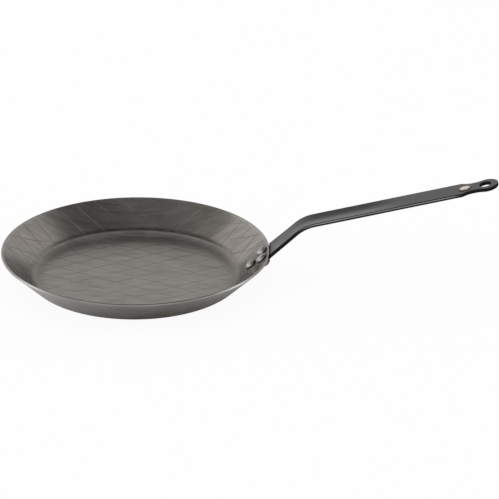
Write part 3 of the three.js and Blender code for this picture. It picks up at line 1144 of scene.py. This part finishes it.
def rivet_material():
    """Bare bright steel, clouded by the hammer, with a painted highlight on one side and painted shade
    with some dirt at its foot.
    """
    s = Surface("bright_rivet_steel")
    clouds = s.noise((260, 260, 260), 3)
    grain = s.noise((1500, 1500, 1500), 2)
    steel = s.blend(clouds, RIVET_DARK, RIVET_LIGHT)
    # A painted highlight on one side of the head
    steel = s.blend(s.layer("accent"), steel, RIVET_HIGHLIGHT)
    # Painted shade with some dirt at the head's foot, and a darker tail
    s.link(s.blend(s.layer("shade_and_dirt"), steel, RIVET_SHADE_AND_DIRT), s.shader.inputs["Base Color"])
    s.link(s.spread(clouds, NOISE_RANGE, (0.42, 0.56)), s.shader.inputs["Roughness"])
    s.shader.inputs["Metallic"].default_value = 1.0
    s.bump(s.sum(clouds, s.scaled(grain, 0.2)), strength=0.3, distance=0.3 * MM)
    return s.material


def badge_material():
    """Pale warm metal with a brown tarnished rim."""
    s = Surface("pale_badge_metal")
    clouds = s.noise((420, 420, 420), 3)
    brushed = s.noise((500, 3000, 500), 3)
    field = s.blend(clouds, BADGE_DARK, BADGE_LIGHT)
    rim = s.blend(clouds, TARNISH_DARK, TARNISH_LIGHT)
    s.link(s.blend(s.layer("accent"), field, rim), s.shader.inputs["Base Color"])
    s.link(s.spread(brushed, NOISE_RANGE, (0.28, 0.42)), s.shader.inputs["Roughness"])
    s.shader.inputs["Metallic"].default_value = 1.0
    s.bump(s.sum(clouds, brushed), strength=0.25, distance=0.15 * MM)
    return s.material


def floor_material():
    """White paint. It is seen whiter, with a softer shadow, and gloss sees it so past the pan's shade."""
    s = Surface("white_floor")
    s.shader.inputs["Base Color"].default_value = (*FLOOR_PAINT, 1)
    s.shader.inputs["Roughness"].default_value = 1.0
    s.shader.inputs["Specular IOR Level"].default_value = 0.0
    where = s.node("ShaderNodeTexCoord")
    narrow = s.node("ShaderNodeVectorMath", operation="MULTIPLY_ADD")
    narrow.inputs[1].default_value = (SHADE_NARROW, 1, 1)
    narrow.inputs[2].default_value = (-SHADE_NARROW * SHADE_SHIFT, 0, 0)
    s.link(where.outputs["Object"], narrow.inputs[0])
    distance = s.node("ShaderNodeVectorMath", operation="LENGTH")
    s.link(narrow.outputs["Vector"], distance.inputs["Vector"])
    outside = s.spread(distance.outputs["Value"], (SHADE_START, SHADE_END), (0, 1))
    path = s.node("ShaderNodeLightPath")
    mirrored = s.maths("MAXIMUM", path.outputs["Is Glossy Ray"], path.outputs["Is Transmission Ray"])
    seen = s.maths("MAXIMUM", path.outputs["Is Camera Ray"], s.product(mirrored, outside))
    white = s.node("ShaderNodeEmission")
    mix = s.node("ShaderNodeMixShader")
    s.link(s.scaled(seen, FLOOR_WHITE), mix.inputs["Fac"])
    s.link(s.shader.outputs["BSDF"], mix.inputs[1])
    s.link(white.outputs["Emission"], mix.inputs[2])
    s.link(mix.outputs["Shader"], s.tree.nodes["Material Output"].inputs["Surface"])
    return s.material


def make_floor():
    """A plain square floor, just under the pan."""
    corners = ((-1, -1), (1, -1), (1, 1), (-1, 1))
    points = [(x * FLOOR_HALF, y * FLOOR_HALF, -FLOOR_DROP) for x, y in corners]
    mesh = bpy.data.meshes.new("floor")
    mesh.from_pydata(points, [], [(0, 1, 2, 3)])
    mesh.materials.append(floor_material())
    floor = bpy.data.objects.new("floor", mesh)
    bpy.context.scene.collection.objects.link(floor)


def make_world():
    """Soft light from all round. The camera sees white, and gloss sees white that dims overhead."""
    world = bpy.data.worlds.new("studio")
    bpy.context.scene.world = world
    world.use_nodes = True
    world.cycles.sampling_method = "NONE"
    s = Nodes(world.node_tree)
    where = s.node("ShaderNodeTexCoord")
    split = s.node("ShaderNodeSeparateXYZ")
    s.link(where.outputs["Generated"], split.inputs["Vector"])
    aside = s.node("ShaderNodeMath", operation="ABSOLUTE")
    s.link(split.outputs["X"], aside.inputs[0])
    height = s.node("ShaderNodeMath", operation="MULTIPLY_ADD")
    height.inputs[1].default_value = -SIDE_REACH
    s.link(aside.outputs["Value"], height.inputs[0])
    s.link(split.outputs["Z"], height.inputs[2])
    ramp = s.node("ShaderNodeValToRGB")
    s.link(height.outputs["Value"], ramp.inputs["Fac"])
    stops = ramp.color_ramp.elements
    stops[0].position, stops[1].position = SKY[0][0], SKY[-1][0]
    for place, _ in SKY[1:-1]:
        stops.new(place)
    for stop, (_, level) in zip(stops, SKY):
        stop.color = (level, level, level, 1)
    path = s.node("ShaderNodeLightPath")
    seen = s.blend(path.outputs["Is Glossy Ray"], PLAIN_LIGHT, ramp.outputs["Color"])
    seen = s.blend(path.outputs["Is Transmission Ray"], seen, WHITE)
    seen = s.blend(path.outputs["Is Camera Ray"], seen, WHITE)
    background = s.tree.nodes["Background"]
    s.link(seen, background.inputs["Color"])
    background.inputs["Strength"].default_value = 1.0


def make_lamp(name, place, size, power):
    """A soft square lamp aimed at the object."""
    data = bpy.data.lights.new(name, "AREA")
    data.shape = "SQUARE"
    data.size = size
    data.energy = power
    lamp = bpy.data.objects.new(name, data)
    lamp.location = place
    lamp.rotation_mode = "QUATERNION"
    lamp.rotation_quaternion = (Vector(LAMP_AIM) - Vector(place)).to_track_quat("-Z", "Y")
    bpy.context.scene.collection.objects.link(lamp)


def make_camera():
    """The camera stands back from its target along the line of sight."""
    back = Vector((
        math.sin(VIEW_AZIMUTH) * math.cos(VIEW_ELEVATION),
        -math.cos(VIEW_AZIMUTH) * math.cos(VIEW_ELEVATION),
        math.sin(VIEW_ELEVATION),
    ))
    data = bpy.data.cameras.new("camera")
    data.sensor_width = SENSOR
    data.lens = SENSOR * PIXELS_PER_METRE * VIEW_DISTANCE / IMAGE_PIXELS
    data.clip_end = VIEW_END
    camera = bpy.data.objects.new("camera", data)
    camera.location = VIEW_TARGET + back * VIEW_DISTANCE
    camera.rotation_mode = "QUATERNION"
    camera.rotation_quaternion = (-back).to_track_quat("-Z", "Y")
    bpy.context.scene.collection.objects.link(camera)
    bpy.context.scene.camera = camera


make_camera()
make_pan(pan_material())
make_handle(handle_material())
rivet_steel = rivet_material()
for rivet in RIVETS:
    make_rivet(*rivet, rivet_steel)
make_badge(badge_material())
make_floor()
make_world()
for lamp in LAMPS:
    make_lamp(*lamp)
bpy.context.scene.view_settings.view_transform = "Standard"
